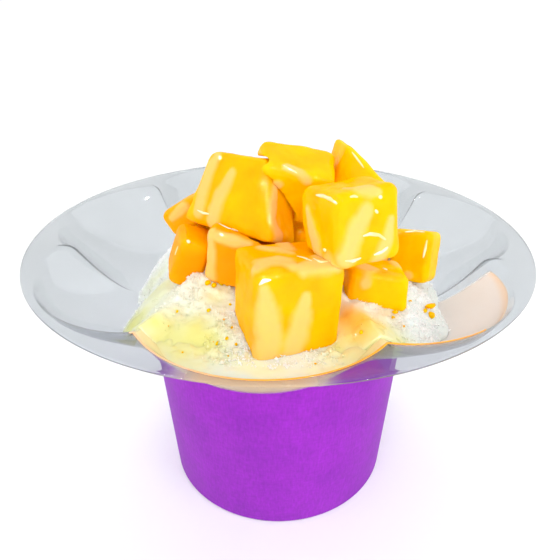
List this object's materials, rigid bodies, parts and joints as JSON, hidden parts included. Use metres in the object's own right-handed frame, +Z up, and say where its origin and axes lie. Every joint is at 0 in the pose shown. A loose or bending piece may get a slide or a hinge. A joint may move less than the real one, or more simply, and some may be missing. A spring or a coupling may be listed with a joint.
{
  "type": "bingsu",
  "caption": "Shaved ice heaped with cut mango and condensed milk in a clear flower-shaped dish that stands on a tall paper cup.",
  "frame": {"origin": "centre of the cup's foot, on the surface it stands on", "axes": "+Z up, -Y towards the front, where the largest piece of mango stands"},
  "size_m": [0.1638, 0.1638, 0.1329],
  "materials": {
    "cup_paper": "matt printed paper, fine upright ribs",
    "dish_plastic": "clear thin formed plastic, glossy",
    "shaved_ice": "fluffy wet flakes",
    "milk": "wet, glossy",
    "mango": "wet cut flesh"
  },
  "bodies": {
    "root": {"cup": "cup_paper", "dish": "dish_plastic", "ice": "shaved_ice", "milk": "milk", "mango_front": "mango", "mango_gloss": "mango", "mango_left": "mango", "mango_low": "mango", "mango_right": "mango", "mango_crown": "mango", "mango_peak": "mango", "mango_cheek": "mango", "mango_behind": "mango", "mango_shade": "mango", "mango_point": "mango", "mango_core": "mango", "mango_back_right": "mango", "mango_back_left": "mango", "mango_back": "mango", "mango_back_low": "mango", "mango_back_side": "mango", "mango_back_far": "mango", "mango_back_edge": "mango", "mango_back_top": "mango"}
  },
  "joints": []
}
